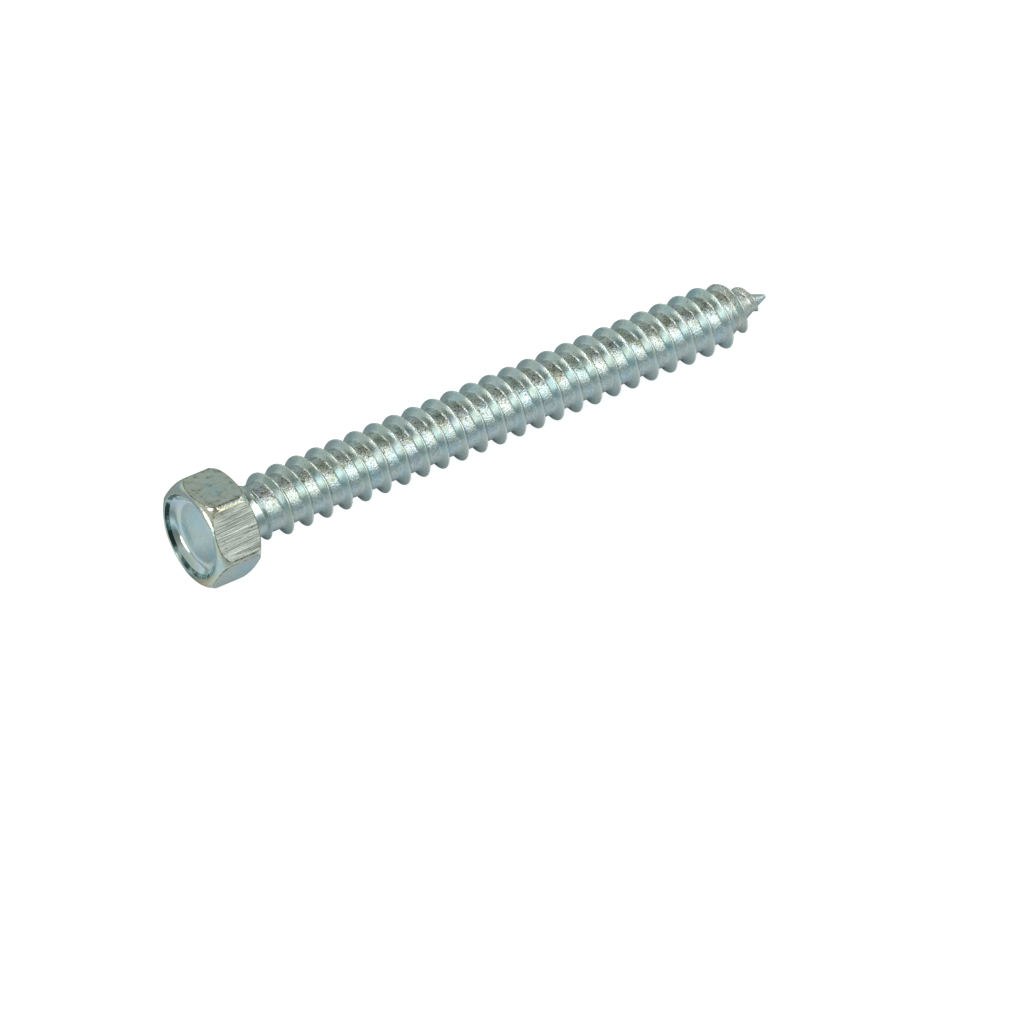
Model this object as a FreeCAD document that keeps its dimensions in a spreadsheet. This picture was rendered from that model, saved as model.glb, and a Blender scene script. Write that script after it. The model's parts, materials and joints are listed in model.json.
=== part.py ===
"""Hex head self-tapping screw, 5.5 x 50, made in one piece from zinc plated steel.

The screw is drawn with its axis along X: the head's top face lies at x = 0 and the
point faces +X.  At the end it is laid down as it comes to rest, on one flat of the
head and on the thread close to the point.  All lengths are in millimetres.
"""
import FreeCAD, Part
import math
import os
import Sketcher

Vector = FreeCAD.Vector

# Every size of the screw, with what it is.
SIZES = (
    ("across_flats", 7.86, "hex head, flat to flat"),
    ("corner_reach", 0.5, "how far the round blank reaches past the flats trimmed from it"),
    ("head_height", 4.0, "top face to bearing face"),
    ("crown_radius", 1.15, "rounding of the blank at the top face"),
    ("underside_radius", 0.85, "rounding of the blank at the bearing face"),
    ("recess_diameter", 7.0, "dish in the top face, at its rim"),
    ("recess_floor_diameter", 5.4, "flat floor of the dish"),
    ("recess_depth", 0.85, "rim to floor"),
    ("collar_diameter", 5.36, "raised ring that leads from the bearing face to the neck"),
    ("collar_height", 0.28, "height of that ring"),
    ("neck_diameter", 4.26, "plain neck"),
    ("neck_length", 1.35, "bearing face to the end of the plain neck"),
    ("neck_run_out", 0.12, "short cone that ends the neck"),
    ("screw_length", 50.2, "bearing face to the tip"),
    ("core_diameter", 4.1, "root of the thread"),
    ("thread_diameter", 5.42, "crest of the thread"),
    ("thread_pitch", 1.8, "advance in one turn"),
    ("flank_angle", 60.0, "included angle of the thread ridge, degrees"),
    ("crest_at_top", 1.5, "bearing face to the first crest above the axis"),
    ("lead_in_start", 0.75, "bearing face to where the ridge begins to rise"),
    ("lead_in_length", 3.2, "length over which the ridge rises to its full height"),
    ("point_length", 5.1, "length of the incomplete thread at the point"),
    ("point_fullness", 1.55, "power of the curve that the crests follow to the tip"),
    ("cone_length", 4.57, "tip to where the root begins to taper"),
    ("cone_overrun", 0.2, "how far past the tip the root's cone would close"),
    ("ridge_end", 0.85, "tip to the end of the ridge"),
    ("ridge_run_out", 0.6, "length over which the ridge sinks at its end"),
    ("pin_length", 1.9, "length of the slim cone that forms the tip"),
    ("pin_root_diameter", 1.7, "slim cone at its hidden end"),
    ("tip_diameter", 0.30, "blunted end of the slim cone"),
    ("hidden_core_diameter", 3.2, "core of the turned blank inside the threaded length"),
)

# The helical faces are made in arcs of 60 degrees.
ARCS_PER_TURN = 6
ARC = 2 * math.pi / ARCS_PER_TURN

# Each quarter round of the head is a chain of this many short cones, 0.013 mm from the true arc at most.
ROUND_CHORDS = 5

# Where the ridge has not begun, this much of it stays inside the blank, and as much is left where it ends.
LEAST_RIDGE = 0.05

doc = FreeCAD.newDocument("HexHeadTappingScrew")


def make_sheet():
    sheet = doc.addObject("Spreadsheet::Sheet", "Sizes")
    for row, (name, value, meaning) in enumerate(SIZES, start=1):
        sheet.set("A%d" % row, name)
        sheet.set("B%d" % row, str(value))
        sheet.set("C%d" % row, meaning)
        sheet.setAlias("B%d" % row, name)
    doc.recompute()
    return sheet


sizes = make_sheet()


def size(name):
    return float(sizes.get(name))


def origin_plane(body, role):
    return next(item for item in body.Origin.OriginFeatures if item.Role == role)


def hexagon_sketch(body, name):
    """Regular hexagon in the YZ plane with two level flats, top and bottom."""
    sketch = body.newObject("Sketcher::SketchObject", name)
    sketch.AttachmentSupport = [(origin_plane(body, "YZ_Plane"), "")]
    sketch.MapMode = "FlatFace"
    radius = size("across_flats") / math.sqrt(3)
    corners = [Vector(radius * math.cos(k * math.pi / 3), radius * math.sin(k * math.pi / 3), 0) for k in range(6)]
    for k in range(6):
        sketch.addGeometry(Part.LineSegment(corners[k], corners[(k + 1) % 6]))
    circle = sketch.addGeometry(Part.Circle(Vector(0, 0, 0), Vector(0, 0, 1), radius), True)
    sketch.addConstraint(Sketcher.Constraint("Coincident", circle, 3, -1, 1))
    for k in range(6):
        sketch.addConstraint(Sketcher.Constraint("Coincident", k, 2, (k + 1) % 6, 1))
        sketch.addConstraint(Sketcher.Constraint("PointOnObject", k, 1, circle))
    for k in range(1, 6):
        sketch.addConstraint(Sketcher.Constraint("Equal", 0, k))
    sketch.addConstraint(Sketcher.Constraint("PointOnObject", 0, 1, -1))
    index = sketch.addConstraint(Sketcher.Constraint("DistanceY", 4, 1, 1, 1, size("across_flats")))
    sketch.setExpression("Constraints[%d]" % index, "Sizes.across_flats")
    return sketch


def profile_sketch(body, name, corners):
    """Closed outline in the XZ plane; each corner is two expressions: its distance along the axis and its radius."""
    sketch = body.newObject("Sketcher::SketchObject", name)
    sketch.AttachmentSupport = [(origin_plane(body, "XZ_Plane"), "")]
    sketch.MapMode = "FlatFace"
    points = [Vector(evaluate(along), evaluate(out), 0) for along, out in corners]
    count = len(points)
    for k in range(count):
        sketch.addGeometry(Part.LineSegment(points[k], points[(k + 1) % count]))
    for k in range(count):
        sketch.addConstraint(Sketcher.Constraint("Coincident", k, 2, (k + 1) % count, 1))
    for k, (along, out) in enumerate(corners):
        place(sketch, k, 1, along, out)
    return sketch


def quarter_round(along, towards, rim, radius):
    """Corners of a quarter round from the end face out to the rim, in short chords.

    along is where the end face lies, towards is +1 or -1 for the way into the head.
    """
    corners = []
    for k in range(ROUND_CHORDS + 1):
        turned = 90 * k / ROUND_CHORDS
        inward = "%s * (1 - cos(%g))" % (radius, turned)
        outward = "%s - %s * (1 - sin(%g))" % (rim, radius, turned)
        corners.append(("%s %s %s" % (along, "+" if towards > 0 else "-", inward), outward))
    return corners


def place(sketch, side, point, along, out):
    """Pins one corner at its distance along the axis and its radius."""
    if evaluate(along) == 0:
        sketch.addConstraint(Sketcher.Constraint("PointOnObject", side, point, -2))
    else:
        index = sketch.addConstraint(Sketcher.Constraint("DistanceX", -1, 1, side, point, evaluate(along)))
        sketch.setExpression("Constraints[%d]" % index, along)
    if evaluate(out) == 0:
        sketch.addConstraint(Sketcher.Constraint("PointOnObject", side, point, -1))
    else:
        index = sketch.addConstraint(Sketcher.Constraint("DistanceY", -1, 1, side, point, evaluate(out)))
        sketch.setExpression("Constraints[%d]" % index, out)


def evaluate(expression):
    """Value that an expression of the sheet's sizes has now."""
    return float(sizes.evalExpression(expression))


def revolved(body, kind, name, sketch):
    feature = body.newObject("PartDesign::" + kind, name)
    feature.Profile = sketch
    feature.ReferenceAxis = (sketch, ["H_Axis"])
    feature.Angle = 360
    feature.Refine = False
    sketch.Visibility = False
    doc.recompute()
    return feature


def make_blank():
    """Head, neck, hidden core and tip: everything that a lathe and a trimming die give."""
    body = doc.addObject("PartDesign::Body", "Blank")

    hexagon = hexagon_sketch(body, "HexOutline")
    prism = body.newObject("PartDesign::Pad", "HexPrism")
    prism.Profile = hexagon
    prism.Length = size("head_height")
    prism.setExpression("Length", "Sizes.head_height")
    doc.recompute()

    rim = "Sizes.across_flats / 2 + Sizes.corner_reach"
    clear = "Sizes.across_flats + Sizes.corner_reach"
    crown = quarter_round("0", 1, rim, "Sizes.crown_radius")
    underside = quarter_round("Sizes.head_height", -1, rim, "Sizes.underside_radius")
    outside = [("Sizes.head_height", clear), ("0", clear)]
    rounding = profile_sketch(body, "HeadRounding", crown + underside[::-1] + outside)
    revolved(body, "Groove", "RoundedCorners", rounding)

    dish = profile_sketch(
        body,
        "DishOutline",
        (
            ("0", "0"),
            ("0", "Sizes.recess_diameter / 2"),
            ("Sizes.recess_depth", "Sizes.recess_floor_diameter / 2"),
            ("Sizes.recess_depth", "0"),
        ),
    )
    revolved(body, "Groove", "Dish", dish)

    end = "Sizes.head_height + Sizes.screw_length"
    neck_end = "Sizes.head_height + Sizes.neck_length"
    core = "Sizes.hidden_core_diameter / 2"
    pin_start = end + " - Sizes.pin_length"
    shank = profile_sketch(
        body,
        "ShankOutline",
        (
            ("Sizes.head_height - Sizes.collar_height", "0"),
            ("Sizes.head_height - Sizes.collar_height", "Sizes.collar_diameter / 2"),
            ("Sizes.head_height", "Sizes.collar_diameter / 2"),
            ("Sizes.head_height + Sizes.collar_height", "Sizes.neck_diameter / 2"),
            (neck_end, "Sizes.neck_diameter / 2"),
            (neck_end + " + Sizes.neck_run_out", core),
            (end + " - Sizes.cone_length - Sizes.thread_pitch", core),
            (pin_start, "Sizes.pin_root_diameter / 4"),
            (pin_start, "Sizes.pin_root_diameter / 2"),
            (end, "Sizes.tip_diameter / 2"),
            (end, "0"),
        ),
    )
    revolved(body, "Revolution", "Shank", shank)
    return body


class Ridge:
    """The helical ridge: where its foot and crest lie at each angle turned."""

    def __init__(self):
        self.seat = size("head_height")
        self.end = self.seat + size("screw_length")
        self.pitch = size("thread_pitch")
        self.core = size("core_diameter") / 2
        self.crest = size("thread_diameter") / 2
        self.slope = math.tan(math.radians(size("flank_angle") / 2))
        self.last_angle = self.angle_at(self.end - size("ridge_end"))
        hidden = self.seat + size("neck_length") - 1.2 * self.pitch
        self.arcs = math.ceil((self.last_angle - self.angle_at(hidden)) / ARC)
        self.first_angle = self.last_angle - self.arcs * ARC

    def angle_at(self, along):
        return 2 * math.pi * (along - self.seat - size("crest_at_top")) / self.pitch

    def centre(self, angle):
        return self.seat + size("crest_at_top") + self.pitch * angle / (2 * math.pi)

    def root_radius(self, along):
        back = max(0.0, self.end - along)
        overrun = size("cone_overrun")
        return self.core * min(1.0, (back + overrun) / (size("cone_length") + overrun))

    def crest_radius(self, along):
        """Crest of the ridge: rises at the neck, follows a full curve to the tip and sinks at its end."""
        back = max(0.0, self.end - along)
        root = self.root_radius(along)
        radius = self.crest
        if back < size("point_length"):
            radius = self.crest * (1 - (1 - back / size("point_length")) ** size("point_fullness"))
        start = self.seat + size("lead_in_start")
        rise = min(1.0, max(0.0, (along - start) / size("lead_in_length")))
        sink = min(1.0, max(0.0, (back - size("ridge_end")) / size("ridge_run_out")))
        height = (radius - root) * math.sin(rise * math.pi / 2) * sink
        return root + max(height, LEAST_RIDGE)

    def foot(self, angle, side):
        """The ridge's foot on the head's side (-1) or the tip's side (+1), as distance along and radius."""
        centre = self.centre(angle)
        width = (self.crest_radius(centre) - self.root_radius(centre)) * self.slope
        along = centre + side * width
        return along, self.root_radius(along)

    def top(self, angle):
        centre = self.centre(angle)
        return centre, self.crest_radius(centre)

    def head_foot(self, angle):
        return self.foot(angle, -1)

    def tip_foot(self, angle):
        return self.foot(angle, 1)

    def closing(self, angle):
        """Curve that ends the last turn: it leaves the ridge's last foot and stops just past it."""
        start = self.head_foot(self.last_angle)[0]
        end = self.tip_foot(self.last_angle)[0] + LEAST_RIDGE
        share = (angle - self.last_angle) / (2 * math.pi)
        along = start + (end - start) * share
        return along, self.root_radius(along)


def on_helix(place_at, angle):
    """Point at an angle turned from the top, right-handed about +X."""
    along, radius = place_at(angle)
    return Vector(along, -radius * math.sin(angle), radius * math.cos(angle))


def arc_poles(place_at, start):
    """Four poles of the cubic that follows a helical line for one arc."""
    end = start + ARC
    small = 1e-5
    reach = 4 / 3 * math.tan(ARC / 4)
    first, last = on_helix(place_at, start), on_helix(place_at, end)
    leaving = (on_helix(place_at, start + small) - first) * (reach / small)
    arriving = (last - on_helix(place_at, end - small)) * (reach / small)
    return [first, first + leaving, last - arriving, last]


def ruled_face(first, second):
    """Face ruled between two arcs; the weights make its parameters even in distance, not in radius."""
    ratio = [max(math.hypot(row[0].y, row[0].z), 1e-3) for row in (first, second)]
    weight = 1.0 if min(ratio) < 0.01 else ratio[0] / ratio[1]
    surface = Part.BSplineSurface()
    surface.buildFromPolesMultsKnots(
        [[first[k], second[k]] for k in range(4)],
        (4, 4),
        (2, 2),
        (0.0, 1.0),
        (0.0, 1.0),
        False,
        False,
        3,
        1,
        [[1.0, weight] for k in range(4)],
    )
    return surface.toShape()


def axis_poles(place_at, start):
    """The same four poles, drawn in to the axis as a straight line."""
    first = Vector(place_at(start)[0], 0, 0)
    last = Vector(place_at(start + ARC)[0], 0, 0)
    return [first + (last - first) * (k / 3) for k in range(4)]


def end_face(ridge, angle, outer):
    """Flat face across one pitch, in the half plane at the given angle."""
    outline = [on_helix(ridge.head_foot, angle), on_helix(ridge.top, angle), on_helix(ridge.tip_foot, angle)]
    outline.append(on_helix(outer, angle + 2 * math.pi))
    for k in range(ARCS_PER_TURN, -1, -1):
        outline.append(Vector(outer(angle + k * ARC)[0], 0, 0))
    return Part.Face(Part.makePolygon(outline + [outline[0]]))


def make_thread():
    """Threaded rod: two flanks and a strip of root in each turn, closed across the axis at both ends."""
    ridge = Ridge()
    angles = [ridge.first_angle + k * ARC for k in range(ridge.arcs)]
    faces = []
    for k, angle in enumerate(angles):
        head_foot = arc_poles(ridge.head_foot, angle)
        top = arc_poles(ridge.top, angle)
        tip_foot = arc_poles(ridge.tip_foot, angle)
        last_turn = k + ARCS_PER_TURN >= ridge.arcs
        following = ridge.closing if last_turn else ridge.head_foot
        faces.append(ruled_face(head_foot, top))
        faces.append(ruled_face(top, tip_foot))
        faces.append(ruled_face(tip_foot, arc_poles(following, angle + 2 * math.pi)))
    for k in range(ARCS_PER_TURN):
        angle = ridge.first_angle + k * ARC
        faces.append(ruled_face(arc_poles(ridge.head_foot, angle), axis_poles(ridge.head_foot, angle)))
        angle = ridge.last_angle + k * ARC
        faces.append(ruled_face(arc_poles(ridge.closing, angle), axis_poles(ridge.closing, angle)))
    faces.append(end_face(ridge, ridge.first_angle, ridge.head_foot))
    faces.append(end_face(ridge, ridge.last_angle, ridge.closing))
    shell = Part.makeShell(faces)
    shell.sewShape()
    solid = Part.makeSolid(shell.Shells[0])
    if solid.Volume < 0:
        solid.reverse()
    thread = doc.addObject("Part::Feature", "Thread")
    thread.Shape = solid
    return thread


def lay_down(screw):
    """Rests the screw on a flat of its head and on a crest near the point, above the origin."""
    ridge = Ridge()
    rounding = size("underside_radius")
    flat_end = size("head_height") - rounding + math.sqrt(rounding**2 - (rounding - size("corner_reach")) ** 2)
    full = ridge.end - size("point_length")
    turns = math.floor((ridge.angle_at(full) - math.pi) / (2 * math.pi))
    last_crest = ridge.centre(math.pi + turns * 2 * math.pi)
    drop = size("across_flats") / 2 - size("thread_diameter") / 2
    tilt = math.degrees(math.atan2(drop, last_crest - flat_end))
    turn = FreeCAD.Rotation(Vector(0, 1, 0), tilt)
    screw.Placement = FreeCAD.Placement(Vector(0, 0, 0), turn)
    box = screw.Shape.optimalBoundingBox(False, False)
    screw.Placement = FreeCAD.Placement(Vector(-box.Center.x, -box.Center.y, -box.ZMin), turn)
    return tilt


def main():
    blank = make_blank()
    thread = make_thread()
    screw = doc.addObject("Part::Fuse", "screw")
    screw.Label = "screw"
    screw.Base = blank
    screw.Tool = thread
    doc.recompute()
    tilt = lay_down(screw)

    for item in doc.Objects:
        if "Invalid" in item.State or "Error" in item.State:
            raise RuntimeError("%s failed: %s" % (item.Name, item.State))
    if screw.Shape.isNull() or not screw.Shape.isValid() or len(screw.Shape.Solids) != 1:
        raise RuntimeError("the screw is not one valid solid")
    os.makedirs("parts", exist_ok=True)
    screw.Shape.exportStep("parts/screw.step")
    print("volume %.2f mm3, tilt %.3f degrees, %d faces" % (screw.Shape.Volume, tilt, len(screw.Shape.Faces)))


main()
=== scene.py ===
"""Hex head self-tapping screw: the dressed screw, its floor, its light and the camera.

The screw is drawn along X from the centre of its top face, in millimetres, with the
angle counted from the top of the screw, right-handed about +X.  The last step turns it
into the place that the frame gives, in metres.
"""
import json
import math

import bpy
from mathutils import Matrix, Vector


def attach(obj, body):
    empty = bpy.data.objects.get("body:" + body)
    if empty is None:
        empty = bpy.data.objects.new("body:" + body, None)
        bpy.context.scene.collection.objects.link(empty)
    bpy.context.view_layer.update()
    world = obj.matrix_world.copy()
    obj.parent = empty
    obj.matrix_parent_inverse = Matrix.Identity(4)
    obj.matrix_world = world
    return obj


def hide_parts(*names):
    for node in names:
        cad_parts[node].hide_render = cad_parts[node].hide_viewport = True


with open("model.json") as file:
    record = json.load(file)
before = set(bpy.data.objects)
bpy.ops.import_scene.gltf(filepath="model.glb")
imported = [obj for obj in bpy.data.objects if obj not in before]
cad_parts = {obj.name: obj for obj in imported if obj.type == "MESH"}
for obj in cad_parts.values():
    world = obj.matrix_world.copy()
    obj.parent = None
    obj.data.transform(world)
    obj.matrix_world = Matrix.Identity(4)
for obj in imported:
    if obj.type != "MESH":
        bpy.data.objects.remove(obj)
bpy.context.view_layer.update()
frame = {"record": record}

MM = 0.001

# Head
HALF_FLATS = 3.93
CORNER_RADIUS = 4.429
HEAD_HEIGHT = 4.0
CROWN_RADIUS = 1.15
UNDERSIDE_RADIUS = 0.85
ROUNDING_STEPS = 7
FLAT_ROWS = 6

# Degrees from the middle of a flat to its edge, and to the columns of points before it.
CORNER_EDGE = math.degrees(math.acos(HALF_FLATS / CORNER_RADIUS))
FLAT_COLUMNS = (0.0, 4.4, 8.8, 13.2, 17.4, 21.2, 24.2)

# The solid's roundings are chords that lie this far inside the arc.
CHORD_DEPTH = 0.022

# Soft edges: the width of the strip, the reach of its outer rows as a share of the width,
# and how far the edge is taken in at a corner and at the end of a rounding.
EDGE_SOFTNESS = 0.070
SOFT_REACH = 2.2
CORNER_INSET = 0.006
ROUNDING_INSET = 0.004

# Dish in the top face
RECESS_RADIUS = 3.5
RECESS_FLOOR_RADIUS = 2.7
RECESS_DEPTH = 0.85
RECESS_OFFSET = 0.12
RECESS_FILLET = 0.40
LIP_SOFTNESS = 0.075
FILLET_STEPS = 7
WALL_STEPS = 6
LIP_STEPS = 5

# The dish's floor rises to its middle: radius and rise.
FLOOR_RISES = ((0.0, 0.035), (0.5, 0.033), (1.1, 0.022), (1.7, 0.006))

# Collar and neck
COLLAR_RADIUS = 2.68
COLLAR_HEIGHT = 0.28
COLLAR_SLOPE_STEPS = 4
COLLAR_HOLLOW = 0.8
NECK_RADIUS = 2.13
NECK_LENGTH = 1.35
NECK_RUN_OUT = 0.12

# Rim of the collar: distance past the bearing face and radius past the collar's own.
COLLAR_RIM = ((0.0, 0.50), (0.0, 0.12), (0.01, 0.04), (0.04, -0.03))

# Foot of the collar: distance past the collar and radius past the neck's own.
COLLAR_SLOPE_END = (-0.05, 0.06)
COLLAR_FOOT = ((-0.02, 0.035), (0.03, 0.008), (0.09, 0.0))

# Thread
SCREW_LENGTH = 50.2
CORE_RADIUS = 2.05
CREST_RADIUS = 2.71
PITCH = 1.8
HALF_FLANK = math.radians(30)
CREST_AT_TOP = 1.5
LEAD_IN_START = 0.75
LEAD_IN_LENGTH = 3.2

# Point
POINT_LENGTH = 5.1
POINT_FULLNESS = 1.55
CONE_LENGTH = 4.57
CONE_OVERRUN = 0.2
RIDGE_END = 0.85
RIDGE_RUN_OUT = 0.6
PIN_LENGTH = 1.9
PIN_ROOT_RADIUS = 0.85
TIP_RADIUS = 0.15

# Least width of the ridge on the shank and at the point, as a share of the full ridge's.
LEAST_WIDTH = 0.25
BLUNT_WIDTH = 0.75

# Grid of the thread's surface
STEPS_PER_TURN = 96
ROOT_STEPS = 4
TIP_X = HEAD_HEIGHT + SCREW_LENGTH
THREAD_START = HEAD_HEIGHT + 0.45
THREAD_STOP = TIP_X - 0.10

# Over this distance the ridge is measured from the core, because the neck is wider.
RISE_FROM_CORE = 1.2

# Rounded end of the tip: distance before the tip and share of the radius where the grid stops.
TIP_ROUNDING = ((0.06, 0.90), (0.025, 0.66), (0.006, 0.34))
TIP_INSET = 0.002

# Materials, in the order of the mesh's slots.
FLAT, SIDE_FLAT, SMOOTH_SHADED_FLAT, ROUND, TRIM, LIP_SHADE, RECESS, FLOOR, NECK, ROOT, FLANK, CREST, POINT = range(13)

# Flats that the die scored most and the one that it left smooth, counted from the top one; the smooth one is
# tinted darker teal as painted shade.
SCORED_FLATS = (1, 3, 4)
SMOOTH_SHADED_FLATS = (2,)

# The ragged edge of a flat reaches this many degrees into the flat and past it.
TRIM_INSIDE = 0.5
TRIM_OUTSIDE = 0.6

# The last part of the thread is rolled roughly over this length, and tinted lighter than the root as painted
# highlight.
ROUGH_LENGTH = 4.2

# One side of the ridge, from its crest out to the root: distance from the middle of the
# ridge and height above the root, as shares of the ridge's half width and height.
RIDGE_SIDE = (
    (0.00, 0.985, CREST),
    (0.06, 0.982, CREST),
    (0.12, 0.950, CREST),
    (0.18, 0.895, CREST),
    (0.26, 0.815, FLANK),
    (0.50, 0.575, FLANK),
    (0.75, 0.330, FLANK),
    (0.95, 0.145, FLANK),
    (1.05, 0.075, ROOT),
    (1.18, 0.028, ROOT),
    (1.38, 0.000, ROOT),
)

# Tint of a ramp's stop that leaves the colour as it is.
CLEAR = (1, 1, 1)
# Dark speck: dull specks on the crown, and painted shade on the upper side of smooth parts.
DULL_AND_SHADE_SPECK = (0.45, 0.42, 0.38)

# Camera: the photograph's own axes are X to the right, Y away from the camera and Z up.
PHOTO_TURN = math.radians(35.16)
CAMERA_TILT = math.radians(40)
CAMERA_DISTANCE = 723.8
PIXELS_PER_MM = 13.042
PICTURE_WIDTH = 1024
SENSOR_WIDTH = 36
CLIP_START = 0.01
CLIP_END = 50

# From the middle of the head's top face to the middle of the picture, in the frame's axes.
PICTURE_CENTRE = (24.558, -7.610, -4.082)

# Floor, which reaches this many metres each way and shows white to the camera.
FLOOR_REACH = 8.0
FLOOR_COLOUR = (0.27, 0.34, 0.37)
GLOW_COLOUR = (1, 0.99, 0.985)
GLOW_STRENGTH = 0.90

# Glow that the metal reflects: a strip on each side of the screw, dark under the screw and
# dim further off.  Distances are from the middle of a strip, positive away from the screw.
STRIP_MIDDLE = 4.5
STRIP_GLOW = 0.40
STRIP_DARK = -4.5
STRIP_INNER = -1.5
STRIP_OUTER = 1.5
STRIP_END = 6
FAR_GLOW = 0.05

# Room: the sine of the elevation and the colour there.
ROOM = (
    (0.0, (0.26, 0.34, 0.35)),
    (0.12, (0.43, 0.51, 0.48)),
    (0.45, (0.47, 0.52, 0.48)),
    (0.75, (0.28, 0.30, 0.27)),
    (0.93, (0.12, 0.13, 0.11)),
)

# Soft boxes: direction in the photograph's axes, half sizes across and up, soft edge, strength.
SOFT_BOXES = (
    ((0.742, -0.265, 0.627), 0.80, 0.374, 0.09, 1.45),
    ((-0.85, -0.52, 0.10), 0.24, 0.12, 0.07, 3.0),
    ((-0.38, -0.13, 0.92), 0.24, 0.24, 0.08, 3.9),
    ((-0.85, 0.45, 0.12), 0.40, 0.15, 0.12, 0.15),
)
BOX_TINT = (1.02, 1.0, 0.96)

# Dark side of the room, where this share of its light is missing.
DARK_SIDE = ((-0.42, -0.88, 0.20), 0.42, 0.26, 0.12, 0.60)

# A box fades out where its direction is nearly square to the one that is looked at.
LEAST_AHEAD = 0.05
FULL_AHEAD = 0.1


def clamp(value):
    return min(1.0, max(0.0, value))


def cone_radius(back):
    return CORE_RADIUS * min(1.0, (back + CONE_OVERRUN) / (CONE_LENGTH + CONE_OVERRUN))


def base_radius(x):
    """Neck, core, cone and tip without the ridge."""
    back = max(0.0, TIP_X - x)
    if back < CONE_LENGTH:
        pin = TIP_RADIUS + (PIN_ROOT_RADIUS - TIP_RADIUS) * back / PIN_LENGTH
        return max(cone_radius(back), pin if back < PIN_LENGTH else 0.0)
    from_neck = x - HEAD_HEIGHT - NECK_LENGTH
    return NECK_RADIUS + (CORE_RADIUS - NECK_RADIUS) * clamp(from_neck / NECK_RUN_OUT)


def ridge_height(x):
    """Height of the ridge over the root where its crest lies at x."""
    back = max(0.0, TIP_X - x)
    crest = CREST_RADIUS
    if back < POINT_LENGTH:
        crest = CREST_RADIUS * (1 - (1 - back / POINT_LENGTH) ** POINT_FULLNESS)
    rise = clamp((x - HEAD_HEIGHT - LEAD_IN_START) / LEAD_IN_LENGTH)
    sink = clamp((back - RIDGE_END) / RIDGE_RUN_OUT)
    return max(0.0, crest - cone_radius(back)) * math.sin(rise * math.pi / 2) * sink


def least_width(x):
    return BLUNT_WIDTH if x > TIP_X - POINT_LENGTH else LEAST_WIDTH


class Shape:
    """Vertices, faces and the material of each face."""

    def __init__(self):
        self.points = []
        self.faces = []
        self.slots = []

    def add(self, x, radius, angle, lift=0.0):
        self.points.append((x, -radius * math.sin(angle), radius * math.cos(angle) + lift))
        return len(self.points) - 1

    def face(self, corners, slot):
        self.faces.append(corners)
        self.slots.append(slot)

    def band(self, first, second, slot):
        """Closed band of quads from one ring to the next one towards the tip."""
        count = len(first)
        for k in range(count):
            following = (k + 1) % count
            self.face((first[k], first[following], second[following], second[k]), slot)

    def zipper(self, first, first_angles, second, second_angles, slot):
        """Closed band of triangles between two rings with different numbers of points."""
        turn = 2 * math.pi
        i = j = 0
        while i < len(first) or j < len(second):
            next_first = first_angles[i + 1] if i + 1 < len(first) else first_angles[0] + turn
            next_second = second_angles[j + 1] if j + 1 < len(second) else second_angles[0] + turn
            a, b = first[i % len(first)], second[j % len(second)]
            if j >= len(second) or (i < len(first) and next_first <= next_second):
                self.face((a, first[(i + 1) % len(first)], b), slot)
                i += 1
            else:
                self.face((a, second[(j + 1) % len(second)], b), slot)
                j += 1


def head_angles():
    """Each column's angle and its offset from the middle of its flat or corner band."""
    soft = math.degrees(EDGE_SOFTNESS / CORNER_RADIUS)
    reach = SOFT_REACH * soft
    side = list(FLAT_COLUMNS)
    side += [CORNER_EDGE - reach, CORNER_EDGE - soft, CORNER_EDGE, CORNER_EDGE + soft, CORNER_EDGE + reach]
    sector = [-value for value in reversed(side[1:])] + side
    return [(60 * flat + value, value) for flat in range(6) for value in [-30.0] + sector]


def crown_along(radius):
    """Where the crown's rounding lies at a radius, from the top face."""
    past = max(0.0, radius - CORNER_RADIUS + CROWN_RADIUS)
    return CROWN_RADIUS - math.sqrt(CROWN_RADIUS**2 - past**2) + CHORD_DEPTH


def from_head_axis(radius, angle):
    """Radius from the head's axis of a point of the dish, which is punched a little too high."""
    return math.hypot(radius * math.sin(angle), radius * math.cos(angle) + RECESS_OFFSET)


def lip_at(angle):
    """Edge between the wall of the dish and the crown: distance along and radius in the dish."""
    along = 0.0
    for _ in range(6):
        radius = RECESS_RADIUS - (RECESS_RADIUS - RECESS_FLOOR_RADIUS) * along / RECESS_DEPTH
        along = crown_along(from_head_axis(radius, angle))
    return along, radius


def crown_begin(angle):
    """Turn of the crown's rounding at which the crown starts, at the lip of the dish."""
    rim = from_head_axis(lip_at(angle)[1], angle) + LIP_SOFTNESS
    return math.asin((rim - (CORNER_RADIUS - CROWN_RADIUS)) / CROWN_RADIUS)


def rounded_side(rounding, begin, inset, radius):
    """Rounding from its inner end out to the side of the head, whose radius is given."""
    start = CORNER_RADIUS - rounding
    end = math.asin(clamp((radius - start) / rounding))
    soft = EDGE_SOFTNESS / rounding
    turns = [begin + (end - begin) * k / ROUNDING_STEPS for k in range(ROUNDING_STEPS)]
    turns += [end - soft * SOFT_REACH, end - soft]
    turns = sorted(max(begin, min(end, value)) for value in turns)
    places = [(rounding * (1 - math.cos(t)) + inset, start + rounding * math.sin(t)) for t in turns]
    along = places[-1][0]
    side = [place + (ROUND,) for place in places[:-2]]
    side += [place + (TRIM,) for place in places[-2:]]
    side.append((along + ROUNDING_INSET, radius - ROUNDING_INSET, TRIM))
    side.append((along + EDGE_SOFTNESS, radius, FLAT))
    side.append((along + EDGE_SOFTNESS * SOFT_REACH, radius, FLAT))
    return side


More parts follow.
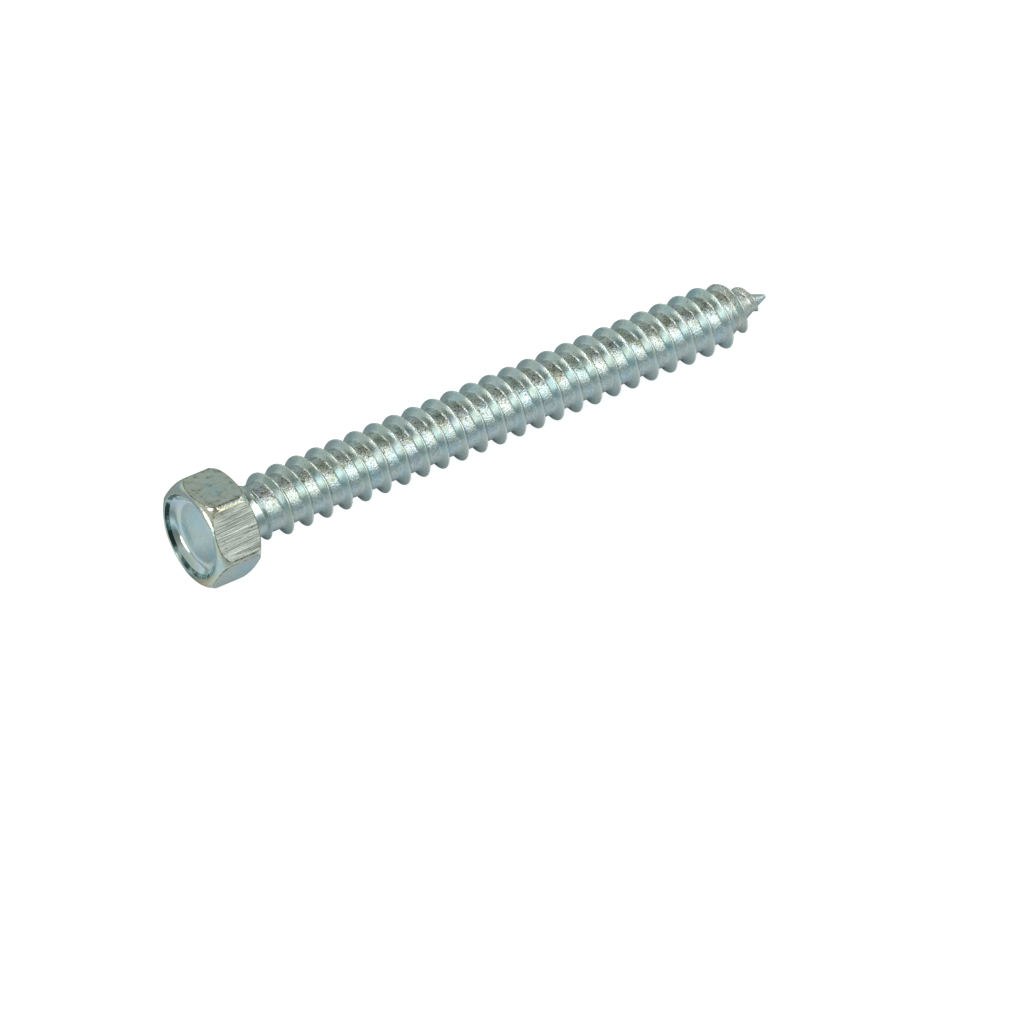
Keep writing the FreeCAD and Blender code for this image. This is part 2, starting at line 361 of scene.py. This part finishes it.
def head_column(angle, offset):
    """Outline of the head at one angle, from the top rim to the bearing face.

    A row has the distance along, the radius and the material.
    """
    radius = min(CORNER_RADIUS, HALF_FLATS / math.cos(math.radians(offset)))
    if abs(abs(offset) - CORNER_EDGE) < 1e-6:
        radius -= CORNER_INSET
    crown = rounded_side(CROWN_RADIUS, crown_begin(angle), CHORD_DEPTH, radius)
    underside = rounded_side(UNDERSIDE_RADIUS, 0.0, 0.0, radius)
    first = crown[-1][0]
    last = HEAD_HEIGHT - underside[-1][0]
    flat = [(first + (last - first) * k / FLAT_ROWS, radius, FLAT) for k in range(1, FLAT_ROWS)]
    return crown + flat + [(HEAD_HEIGHT - x, r, slot) for x, r, slot in reversed(underside)]


def bend(first, corner, last, steps):
    """Soft corner from the first point to the last, without the two ends."""
    for k in range(1, steps):
        t = k / steps
        yield tuple((1 - t) ** 2 * a + 2 * t * (1 - t) * b + t * t * c for a, b, c in zip(first, corner, last))


def dish_column(angle):
    """Outline of the dish at one angle, from beside its middle to the lip.

    A row has the distance along, the radius in the dish and the material.
    """
    floor = [(RECESS_DEPTH - rise, radius) for radius, rise in FLOOR_RISES[1:]]
    floor.append((RECESS_DEPTH, RECESS_FLOOR_RADIUS - RECESS_FILLET))
    slope = math.hypot(RECESS_DEPTH, RECESS_RADIUS - RECESS_FLOOR_RADIUS)
    up, out = RECESS_DEPTH / slope, (RECESS_RADIUS - RECESS_FLOOR_RADIUS) / slope
    foot = (RECESS_DEPTH - RECESS_FILLET * up, RECESS_FLOOR_RADIUS + RECESS_FILLET * out)
    fillet = list(bend(floor[-1], (RECESS_DEPTH, RECESS_FLOOR_RADIUS), foot, FILLET_STEPS))
    lip = lip_at(angle)
    below = (lip[0] + LIP_SOFTNESS * up, lip[1] - LIP_SOFTNESS * out)
    wall = [tuple(a + (b - a) * k / WALL_STEPS for a, b in zip(foot, below)) for k in range(WALL_STEPS + 1)]
    outer = lip[1] + LIP_SOFTNESS
    edge = list(bend(below, lip, (crown_along(from_head_axis(outer, angle)), outer), LIP_STEPS))
    middle = WALL_STEPS // 2
    parts = (
        (FLOOR, floor),
        (RECESS, fillet + wall[:middle]),
        # The upper half of the wall and the lip's first row take the painted shade.
        (LIP_SHADE, wall[middle:] + edge[:1]),
        (ROUND, edge[1:]),
    )
    return [point + (slot,) for slot, points in parts for point in points]


def under_head():
    """Bearing face, collar and plain neck, to the start of the thread: distance along and radius."""
    outline = [(HEAD_HEIGHT + past, COLLAR_RADIUS + out) for past, out in COLLAR_RIM]
    rim_x, rim_radius = outline[-1]
    foot = HEAD_HEIGHT + COLLAR_HEIGHT
    length = foot + COLLAR_SLOPE_END[0] - rim_x
    drop = NECK_RADIUS + COLLAR_SLOPE_END[1] - rim_radius
    for k in range(1, COLLAR_SLOPE_STEPS):
        share = k / COLLAR_SLOPE_STEPS
        outline.append((rim_x + length * share, rim_radius + drop * share**COLLAR_HOLLOW))
    return outline + [(foot + past, NECK_RADIUS + out) for past, out in COLLAR_FOOT]


def flat_slot(angle, past_edge):
    """Material on the side of the head, by the flat and the degrees past the flat's edge."""
    if past_edge > TRIM_OUTSIDE:
        return ROUND
    if past_edge > -TRIM_INSIDE:
        return TRIM
    flat = int((angle + 30) // 60) % 6
    if flat in SMOOTH_SHADED_FLATS:
        return SMOOTH_SHADED_FLAT
    return FLAT if flat in SCORED_FLATS else SIDE_FLAT


def build_head(shape):
    """Dish, hex, bearing face and neck, one ring of points after the other."""
    columns = head_angles()
    angles = [math.radians(angle) for angle, offset in columns]
    centre = shape.add(RECESS_DEPTH - FLOOR_RISES[0][1], 0.0, 0.0, RECESS_OFFSET)
    rings = []
    for row in zip(*(dish_column(angle) for angle in angles)):
        ring = [shape.add(x, radius, angle, RECESS_OFFSET) for (x, radius, slot), angle in zip(row, angles)]
        rings.append((ring, row[0][2]))
    first = rings[0][0]
    for k in range(len(first)):
        shape.face((centre, first[(k + 1) % len(first)], first[k]), FLOOR)
    outlines = [head_column(math.radians(angle), offset) for angle, offset in columns]
    for row in zip(*outlines):
        ring = [shape.add(x, radius, angle) for (x, radius, slot), angle in zip(row, angles)]
        rings.append((ring, row[0][2]))
    for x, radius in under_head():
        rings.append(([shape.add(x, radius, angle) for angle in angles], NECK))
    for (ring, slot), (following, next_slot) in zip(rings, rings[1:]):
        count = len(ring)
        for k in range(count):
            after = (k + 1) % count
            off_middle = (abs(columns[k][1]) + abs(columns[after][1])) / 2
            here = slot
            if FLAT in (slot, next_slot):
                here = flat_slot(columns[k][0], off_middle - CORNER_EDGE) if slot == next_slot else TRIM
            if here == TRIM and off_middle > CORNER_EDGE + TRIM_OUTSIDE:
                here = ROUND
            shape.face((ring[k], ring[after], following[after], following[k]), here)
    return rings[-1][0], angles


def build_thread(shape):
    """Grid that follows the helix: each column of points crosses the ridge and its root.

    Columns that are a turn apart share an edge, where the root meets the next ridge.
    """
    step = 2 * math.pi / STEPS_PER_TURN
    start_angle = 2 * math.pi * math.floor((THREAD_START - HEAD_HEIGHT - CREST_AT_TOP) / PITCH - 1.0)
    turns = math.ceil((TIP_X - HEAD_HEIGHT - CREST_AT_TOP) / PITCH) + 1
    count = int(round((2 * math.pi * turns - start_angle) / step))
    half_width = math.tan(HALF_FLANK)
    full = CREST_RADIUS - CORE_RADIUS
    profile = [(-offset, share, slot) for offset, share, slot in reversed(RIDGE_SIDE[1:])] + list(RIDGE_SIDE)
    known = {}

    def ridge_at(angle):
        centre = HEAD_HEIGHT + CREST_AT_TOP + PITCH * angle / (2 * math.pi)
        height = ridge_height(centre)
        return centre, height, max(height, least_width(centre) * full)

    def vertex(x, lift, angle):
        """One vertex for each place on the two end rings, so that the clamped grid closes on them."""
        x = min(THREAD_STOP, max(THREAD_START, x))
        base = base_radius(x)
        root = base if x > THREAD_START + RISE_FROM_CORE else CORE_RADIUS
        radius = max(base, root + lift)
        if THREAD_START < x < THREAD_STOP:
            return shape.add(x, radius, angle)
        key = (x, round(angle / step) % STEPS_PER_TURN)
        if key not in known:
            known[key] = shape.add(x, radius, angle)
        return known[key]

    columns = []
    for k in range(count + 1):
        angle = start_angle + k * step
        centre, height, scale = ridge_at(angle)
        after, _, after_scale = ridge_at(angle + 2 * math.pi)
        column = []
        for offset, share, slot in profile:
            column.append((vertex(centre + offset * scale * half_width, share * height, angle), slot))
        low = centre + profile[-1][0] * scale * half_width
        high = after - profile[-1][0] * after_scale * half_width
        for m in range(1, ROOT_STEPS):
            column.append((vertex(low + (high - low) * m / ROOT_STEPS, 0.0, angle), ROOT))
        columns.append(column)

    for k in range(count):
        for m in range(len(columns[k])):
            a, b = columns[k], columns[k + 1]
            if m + 1 < len(a):
                corners = (a[m][0], b[m][0], b[m + 1][0], a[m + 1][0])
            elif k + 1 + STEPS_PER_TURN <= count:
                c, d = columns[k + STEPS_PER_TURN], columns[k + 1 + STEPS_PER_TURN]
                corners = (a[m][0], b[m][0], d[0][0], c[0][0])
            else:
                continue
            slot = slot_between(a[m][1], a[m + 1][1] if m + 1 < len(a) else ROOT)
            distinct = tuple(dict.fromkeys(corners))
            if len(distinct) > 2:
                shape.face(distinct, thread_slot(shape.points[corners[0]][0], slot))
    start_ring = [known[(THREAD_START, k)] for k in range(STEPS_PER_TURN)]
    end_ring = [known[(THREAD_STOP, k)] for k in range(STEPS_PER_TURN)]
    return start_ring, [k * step for k in range(STEPS_PER_TURN)], end_ring


def slot_between(first, second):
    if CREST in (first, second) and first == second:
        return CREST
    if FLANK in (first, second):
        return FLANK
    return ROOT if ROOT in (first, second) else CREST


def thread_slot(x, slot):
    """Material of a face of the thread, which differs on the neck and at the rough end."""
    if x > TIP_X - ROUGH_LENGTH and slot != CREST:
        return POINT
    return NECK if slot == ROOT and x < HEAD_HEIGHT + NECK_LENGTH else slot


def round_tip(shape, ring):
    """Blunt rounded end that closes the last ring of the thread's grid."""
    end_radius = base_radius(THREAD_STOP)
    angles = [2 * math.pi * k / STEPS_PER_TURN for k in range(STEPS_PER_TURN)]
    for back, share in TIP_ROUNDING:
        following = [shape.add(TIP_X - back, end_radius * share, angle) for angle in angles]
        shape.band(ring, following, POINT)
        ring = following
    tip = shape.add(TIP_X - TIP_INSET, 0.0, 0.0)
    for k in range(STEPS_PER_TURN):
        shape.face((ring[k], ring[(k + 1) % STEPS_PER_TURN], tip), POINT)


def build_screw():
    shape = Shape()
    neck_ring, neck_angles = build_head(shape)
    start_ring, start_angles, end_ring = build_thread(shape)
    lead = next(k for k, angle in enumerate(neck_angles) if angle >= 0)
    neck_ring = neck_ring[lead:] + neck_ring[:lead]
    neck_angles = neck_angles[lead:] + [angle + 2 * math.pi for angle in neck_angles[:lead]]
    shape.zipper(neck_ring, neck_angles, start_ring, start_angles, NECK)
    round_tip(shape, end_ring)
    return shape


def head_mount():
    """The mount at the middle of the head's top face."""
    return next(mount for mount in frame["record"]["mounts"] if mount["name"] == "hex_drive")


def screw_place():
    """Turns the screw's own axis into the row's frame."""
    drive = head_mount()
    along = -Vector(drive["axis"]).normalized()
    across = Vector((0, 1, 0))
    up = along.cross(across)
    turn = Matrix((along, across, up)).transposed().to_4x4()
    return Matrix.Translation(Vector(drive["pos_m"])) @ turn @ Matrix.Scale(MM, 4)


def dress(shape, materials):
    mesh = bpy.data.meshes.new("dressed_screw")
    mesh.from_pydata(shape.points, [], shape.faces)
    mesh.transform(screw_place())
    for material in materials:
        mesh.materials.append(material)
    mesh.polygons.foreach_set("material_index", shape.slots)
    mesh.polygons.foreach_set("use_smooth", [True] * len(mesh.polygons))
    mesh.update()
    piece = bpy.data.objects.new("dressed_screw", mesh)
    bpy.context.scene.collection.objects.link(piece)
    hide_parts("screw")
    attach(piece, "root")


class Nodes:
    """Short calls for building a node tree."""

    def __init__(self, tree):
        self.tree = tree
        tree.nodes.clear()

    def node(self, kind, **settings):
        made = self.tree.nodes.new(kind)
        for name, value in settings.items():
            setattr(made, name, value)
        return made

    def link(self, output, socket):
        self.tree.links.new(output, socket)

    def math(self, operation, first, second=None, limit=False):
        made = self.node("ShaderNodeMath", operation=operation, use_clamp=limit)
        for socket, value in zip(made.inputs, (first, second)):
            if value is None:
                continue
            if isinstance(value, (int, float)):
                socket.default_value = value
            else:
                self.link(value, socket)
        return made.outputs[0]

    def ramp(self, factor, stops):
        made = self.node("ShaderNodeValToRGB")
        elements = made.color_ramp.elements
        while len(elements) < len(stops):
            elements.new(0.5)
        for element, (place, colour) in zip(elements, stops):
            element.position = place
            element.color = (*colour, 1.0)
        self.link(factor, made.inputs[0])
        return made.outputs[0]

    def remap(self, value, low, high, to_low, to_high):
        made = self.node("ShaderNodeMapRange", clamp=True)
        self.link(value, made.inputs[0])
        for socket, number in zip(made.inputs[1:5], (low, high, to_low, to_high)):
            socket.default_value = number
        return made.outputs[0]

    def mix(self, factor, first, second):
        made = self.node("ShaderNodeMix", data_type="RGBA")
        for socket, value in ((made.inputs[0], factor), (made.inputs[6], first), (made.inputs[7], second)):
            if isinstance(value, (int, float)):
                socket.default_value = value
            elif isinstance(value, tuple):
                socket.default_value = (*value, 1.0)
            else:
                self.link(value, socket)
        return made.outputs[2]


class Zinc(Nodes):
    """Material of zinc plated steel: tint, film, relief, dull marks, and painted shade and painted reflection.

    All of them come from noise in the object's own space; the painted shade and reflection also follow the
    height over the screw's axis.
    """

    def __init__(self, name, tint, roughness):
        self.material = bpy.data.materials.new(name)
        self.material.use_nodes = True
        super().__init__(self.material.node_tree)
        self.place = self.node("ShaderNodeTexCoord").outputs["Object"]
        self.shader = self.node("ShaderNodeBsdfPrincipled")
        self.shader.inputs["Metallic"].default_value = 1.0
        self.colour = tint
        self.roughness = roughness
        self.heights = []

    def noise(self, size_mm, detail=2.0, rough=0.5, along=1.0):
        """Noise with features of about size_mm, drawn out along the screw by the factor along."""
        source = self.place
        if along != 1.0:
            stretched = self.node("ShaderNodeMapping")
            stretched.inputs["Scale"].default_value = (1.0 / along, 1.0, 1.0)
            self.link(source, stretched.inputs["Vector"])
            source = stretched.outputs[0]
        made = self.node("ShaderNodeTexNoise")
        made.inputs["Scale"].default_value = 1.0 / (size_mm * MM)
        made.inputs["Detail"].default_value = detail
        made.inputs["Roughness"].default_value = rough
        self.link(source, made.inputs["Vector"])
        return made.outputs["Fac"]

    def above_axis(self, low_mm, high_mm, least=0.0):
        """Share that goes from the least to 1 between two heights over the screw's own axis."""
        place = screw_place()
        up = place.col[2].xyz.normalized()
        made = self.node("ShaderNodeVectorMath", operation="DOT_PRODUCT")
        self.link(self.place, made.inputs[0])
        made.inputs[1].default_value = up
        axis = up.dot(place.translation)
        return self.remap(made.outputs["Value"], axis + low_mm * MM, axis + high_mm * MM, least, 1.0)

    def tinted(self, stops, pattern, share=1.0):
        """Multiplies the colour by a ramp over the pattern, by the share that is given."""
        self.colour = self.mix(share, self.colour, self.ramp(pattern, stops))
        self.colour.node.blend_type = "MULTIPLY"

    def film(self, size_mm, strength):
        """Thin passivation film that drifts from blue through clear and straw to lilac."""
        hues = (
            (0.34, (0.86, 1.00, 1.08)),
            (0.44, (0.98, 1.00, 1.00)),
            (0.52, (1.04, 1.00, 0.93)),
            (0.58, (1.05, 0.99, 0.97)),
            (0.66, (0.97, 0.96, 1.06)),
        )
        stops = [(place, tuple(1 + (part - 1) * strength for part in hue)) for place, hue in hues]
        self.tinted(stops, self.noise(size_mm, detail=1.5))

    def relief(self, pattern, height_mm):
        self.heights.append(self.math("MULTIPLY", pattern, height_mm))

    def finish(self):
        """Material from the colour, the roughness and the sum of the reliefs."""
        self.link(self.colour, self.shader.inputs["Base Color"])
        if isinstance(self.roughness, float):
            self.shader.inputs["Roughness"].default_value = self.roughness
        else:
            self.link(self.roughness, self.shader.inputs["Roughness"])
        total = self.heights[0]
        for height in self.heights[1:]:
            total = self.math("ADD", total, height)
        bump = self.node("ShaderNodeBump")
        bump.inputs["Distance"].default_value = MM
        bump.inputs["Strength"].default_value = 1.0
        self.link(total, bump.inputs["Height"])
        self.link(bump.outputs[0], self.shader.inputs["Normal"])
        output = self.node("ShaderNodeOutputMaterial")
        self.link(self.shader.outputs[0], output.inputs[0])
        return self.material


def trimmed_flat():
    """Flat scored lengthwise by the trimming die."""
    zinc = Zinc("trimmed_flat", (0.505, 0.545, 0.52), 0.3)
    lines = zinc.noise(0.050, detail=1.0, along=70.0)
    wide = zinc.noise(0.17, along=30.0)
    specks = zinc.noise(0.13, rough=0.6, along=2.0)
    scores = ((0.33, (0.42, 0.42, 0.38)), (0.43, (0.86, 0.86, 0.84)), (0.50, CLEAR), (0.64, (1.25, 1.24, 1.20)))
    zinc.tinted(scores, lines)
    zinc.tinted(((0.30, (0.74, 0.75, 0.70)), (0.50, CLEAR)), wide)
    zinc.tinted(((0.30, (0.42, 0.42, 0.33)), (0.38, CLEAR)), specks)
    zinc.roughness = zinc.remap(lines, 0.3, 0.7, 0.42, 0.28)
    zinc.relief(lines, 0.020)
    zinc.relief(wide, 0.030)
    return zinc.finish()


def side_flat():
    """Flat that the die left smoother, with faint lines and dull blotches."""
    zinc = Zinc("side_flat", (0.74, 0.85, 0.84), 0.3)
    zinc.film(2.6, 0.7)
    lines = zinc.noise(0.09, rough=0.6, along=26.0)
    clouds = zinc.noise(0.55, detail=3.0, rough=0.6)
    zinc.tinted(((0.34, (0.52, 0.50, 0.39)), (0.42, (0.84, 0.83, 0.76)), (0.52, CLEAR)), clouds)
    zinc.tinted(((0.34, (0.86, 0.86, 0.85)), (0.46, CLEAR)), lines)
    zinc.roughness = zinc.remap(clouds, 0.35, 0.6, 0.36, 0.26)
    zinc.relief(lines, 0.004)
    zinc.relief(clouds, 0.010)
    return zinc.finish()


def smooth_zinc(name, tint, roughness, film, waves, dots=0.0):
    """Pressed surface that keeps the shine of the plating, with dark dots that gather on its upper side as
    painted shade.
    """
    zinc = Zinc(name, tint, roughness)
    zinc.film(2.2, film)
    clouds = zinc.noise(0.60)
    zinc.roughness = zinc.remap(clouds, 0.35, 0.65, roughness * 1.25, roughness * 0.85)
    if dots > 0:
        fine = zinc.noise(0.13, rough=0.6)
        # The dots darken the upper side fully and the rest faintly: painted shade.
        share = zinc.above_axis(0.5, 1.5, 0.15)
        zinc.tinted(((0.31, DULL_AND_SHADE_SPECK), (0.31 + 0.07 * dots, CLEAR)), fine, share)
        zinc.relief(fine, 0.008 * dots)
    zinc.relief(clouds, waves)
    return zinc.finish()


def rounded_blank():
    """Crown and corners, still as they were pressed, with straw coloured places low down that are a painted
    warm reflection.
    """
    zinc = Zinc("rounded_blank", (0.82, 0.86, 0.79), 0.21)
    zinc.film(2.2, 1.2)
    clouds = zinc.noise(0.60)
    straw = zinc.noise(1.3, detail=1.5)
    specks = zinc.noise(0.13, rough=0.6)
    # Straw tint on the lower side only: painted warm reflection.
    zinc.tinted(((0.42, CLEAR), (0.55, (1.14, 0.98, 0.74))), straw, zinc.above_axis(-0.4, -2.2))
    zinc.tinted(((0.31, DULL_AND_SHADE_SPECK), (0.35, CLEAR)), specks)
    zinc.roughness = zinc.remap(clouds, 0.35, 0.65, 0.26, 0.18)
    zinc.relief(clouds, 0.030)
    return zinc.finish()


def trim_edge():
    """Ragged edge where the die stopped, olive and dull in places."""
    zinc = Zinc("trim_edge", (0.64, 0.64, 0.55), 0.28)
    ragged = zinc.noise(0.30, detail=3.0, rough=0.6)
    zinc.tinted(((0.36, (0.34, 0.30, 0.20)), (0.47, (0.72, 0.68, 0.54)), (0.60, (1.08, 1.06, 1.0))), ragged)
    zinc.relief(ragged, 0.03)
    return zinc.finish()


def lip_painted_shade():
    """Uppermost part of the dish's wall, darkened as painted shade, with blue and green places."""
    zinc = Zinc("recess_lip_painted_shade", (0.62, 0.84, 0.90), 0.15)
    patches = zinc.noise(1.0, rough=0.6)
    warm_and_green_patches = zinc.noise(0.55)
    # Dark patches over most of the lip: painted shade.
    zinc.tinted(((0.40, (0.12, 0.14, 0.16)), (0.52, (0.40, 0.44, 0.46)), (0.62, CLEAR)), patches)
    # Warm and green patches of tint within the painted shade.
    zinc.tinted(((0.38, (1.0, 0.86, 0.70)), (0.50, CLEAR), (0.62, (0.62, 1.0, 0.86))), warm_and_green_patches)
    zinc.relief(warm_and_green_patches, 0.02)
    return zinc.finish()


def rough_root(name, tint):
    """Root of the thread: grainy from the rolling dies, with dark brown specks and darker olive patches on its
    upper side that are painted shade.
    """
    zinc = Zinc(name, tint, 0.3)
    zinc.film(1.7, 0.8)
    upper = zinc.above_axis(0.9, 1.7)
    grains = zinc.noise(0.14, detail=3.0, rough=0.65)
    specks = zinc.noise(0.21, rough=0.6)
    patches = zinc.noise(0.9)
    # Dark brown specks on the upper side only: painted shade.
    zinc.tinted(((0.33, (0.30, 0.25, 0.22)), (0.37, (0.62, 0.56, 0.50)), (0.45, CLEAR)), specks, upper)
    zinc.tinted(((0.30, (0.72, 0.70, 0.68)), (0.50, CLEAR), (0.68, (1.12, 1.12, 1.10))), grains)
    # Darker olive patches on the upper side only: painted shade.
    zinc.tinted(((0.36, (0.70, 0.70, 0.58)), (0.52, CLEAR)), patches, upper)
    zinc.roughness = zinc.remap(patches, 0.35, 0.65, 0.26, 0.16)
    zinc.relief(grains, 0.048)
    return zinc.finish()


def screw_materials():
    """One material for each slot of the mesh, in the slots' order."""
    return [
        trimmed_flat(),
        side_flat(),
        # Lower flat: smooth, with a darker teal tint that is painted shade.
        smooth_zinc("smooth_shaded_flat", (0.50, 0.64, 0.66), 0.24, film=1.8, waves=0.030, dots=0.4),
        rounded_blank(),
        trim_edge(),
        lip_painted_shade(),
        smooth_zinc("recess_wall", (0.76, 0.90, 0.93), 0.13, film=1.4, waves=0.018),
        smooth_zinc("recess_floor", (0.67, 0.82, 0.85), 0.22, film=0.8, waves=0.014, dots=0.2),
        smooth_zinc("plain_neck", (0.62, 0.71, 0.71), 0.22, film=0.9, waves=0.010, dots=0.9),
        rough_root("thread_root", (0.65, 0.75, 0.77)),
        smooth_zinc("thread_flank", (0.69, 0.79, 0.79), 0.25, film=0.6, waves=0.014, dots=0.7),
        smooth_zinc("thread_crest", (0.82, 0.88, 0.85), 0.22, film=0.6, waves=0.006, dots=0.7),
        # Point: the root's rough finish with a lighter tint, which is painted highlight.
        rough_root("thread_point", (0.76, 0.81, 0.79)),
    ]


def from_photo(vector):
    """Direction in the frame of one that is given in the photograph's axes."""
    return Matrix.Rotation(-PHOTO_TURN, 3, "Z") @ Vector(vector)


def add_camera():
    target = Vector(head_mount()["pos_m"]) / MM + Vector(PICTURE_CENTRE)
    back = from_photo((0, -math.cos(CAMERA_TILT), math.sin(CAMERA_TILT)))
    camera = bpy.data.objects.new("camera", bpy.data.cameras.new("camera"))
    camera.data.sensor_width = SENSOR_WIDTH
    camera.data.lens = PIXELS_PER_MM * CAMERA_DISTANCE / PICTURE_WIDTH * SENSOR_WIDTH
    camera.data.clip_start = CLIP_START
    camera.data.clip_end = CLIP_END
    camera.location = (target + back * CAMERA_DISTANCE) * MM
    camera.rotation_mode = "QUATERNION"
    camera.rotation_quaternion = (-back).to_track_quat("-Z", "Y")
    bpy.context.scene.collection.objects.link(camera)
    bpy.context.scene.camera = camera


def white_floor():
    """Paper that the camera sees white and the metal sees as two dim strips."""
    material = bpy.data.materials.new("white_floor")
    material.use_nodes = True
    nodes = Nodes(material.node_tree)
    paper = nodes.node("ShaderNodeBsdfDiffuse")
    paper.inputs["Color"].default_value = (*FLOOR_COLOUR, 1)
    seen = nodes.node("ShaderNodeLightPath")
    reflected = nodes.math("ADD", seen.outputs["Is Glossy Ray"], seen.outputs["Is Transmission Ray"])
    split = nodes.node("ShaderNodeSeparateXYZ")
    nodes.link(nodes.node("ShaderNodeTexCoord").outputs["Object"], split.inputs[0])
    aside = nodes.math("SUBTRACT", nodes.math("ABSOLUTE", split.outputs["Y"]), STRIP_MIDDLE * MM)
    inner = nodes.remap(aside, STRIP_DARK * MM, STRIP_INNER * MM, 0.0, STRIP_GLOW)
    outer = nodes.remap(aside, STRIP_OUTER * MM, STRIP_END * MM, STRIP_GLOW, FAR_GLOW)
    strips = nodes.math("MULTIPLY", reflected, nodes.math("MINIMUM", inner, outer))
    share = nodes.math("ADD", seen.outputs["Is Camera Ray"], strips, True)
    glow = nodes.node("ShaderNodeEmission")
    glow.inputs["Color"].default_value = (*GLOW_COLOUR, 1)
    nodes.link(nodes.math("MULTIPLY", share, GLOW_STRENGTH), glow.inputs["Strength"])
    total = nodes.node("ShaderNodeAddShader")
    nodes.link(paper.outputs[0], total.inputs[0])
    nodes.link(glow.outputs[0], total.inputs[1])
    output = nodes.node("ShaderNodeOutputMaterial")
    nodes.link(total.outputs[0], output.inputs[0])
    return material


def add_floor():
    mesh = bpy.data.meshes.new("floor")
    reach = FLOOR_REACH
    corners = [(-reach, -reach, 0), (reach, -reach, 0), (reach, reach, 0), (-reach, reach, 0)]
    mesh.from_pydata(corners, [], [(0, 1, 2, 3)])
    mesh.materials.append(white_floor())
    floor = bpy.data.objects.new("floor", mesh)
    bpy.context.scene.collection.objects.link(floor)


def add_light():
    """A pale room, dim overhead and dark on one side, with soft boxes where the metal shows them."""
    world = bpy.data.worlds.new("studio")
    bpy.context.scene.world = world
    world.use_nodes = True
    nodes = Nodes(world.node_tree)
    direction = nodes.node("ShaderNodeTexCoord").outputs["Generated"]

    def component(vector):
        made = nodes.node("ShaderNodeVectorMath", operation="DOT_PRODUCT")
        nodes.link(direction, made.inputs[0])
        made.inputs[1].default_value = vector
        return made.outputs["Value"]

    def softbox(centre, half_across, half_up, edge, strength):
        """Patch of the room with soft edges, to add light or to take it away."""
        ahead = from_photo(centre).normalized()
        across = Vector((0, 0, 1)).cross(ahead).normalized()
        up = ahead.cross(across)
        depth = nodes.math("MAXIMUM", component(ahead), LEAST_AHEAD)
        parts = []
        for axis, half in ((across, half_across), (up, half_up)):
            slope = nodes.math("ABSOLUTE", nodes.math("DIVIDE", component(axis), depth))
            parts.append(nodes.remap(slope, half - edge, half + edge, 1.0, 0.0))
        front = nodes.remap(component(ahead), 0.0, FULL_AHEAD, 0.0, 1.0)
        both = nodes.math("MULTIPLY", nodes.math("MULTIPLY", parts[0], parts[1]), front)
        return nodes.math("MULTIPLY", both, strength)

    room = nodes.ramp(component(Vector((0, 0, 1))), ROOM)
    boxes = softbox(*SOFT_BOXES[0])
    for box in SOFT_BOXES[1:]:
        boxes = nodes.math("ADD", boxes, softbox(*box))
    light = nodes.node("ShaderNodeVectorMath", operation="ADD")
    nodes.link(nodes.mix(softbox(*DARK_SIDE), room, (0.0, 0.0, 0.0)), light.inputs[0])
    warm = nodes.node("ShaderNodeVectorMath", operation="MULTIPLY")
    nodes.link(boxes, warm.inputs[0])
    warm.inputs[1].default_value = BOX_TINT
    nodes.link(warm.outputs[0], light.inputs[1])
    seen = nodes.node("ShaderNodeLightPath")
    colour = nodes.mix(seen.outputs["Is Camera Ray"], light.outputs[0], (1.0, 1.0, 1.0))
    background = nodes.node("ShaderNodeBackground")
    nodes.link(colour, background.inputs["Color"])
    background.inputs["Strength"].default_value = 1.0
    output = nodes.node("ShaderNodeOutputWorld")
    nodes.link(background.outputs[0], output.inputs[0])


def main():
    bpy.context.scene.view_settings.view_transform = "Standard"
    add_camera()
    dress(build_screw(), screw_materials())
    add_floor()
    add_light()


main()
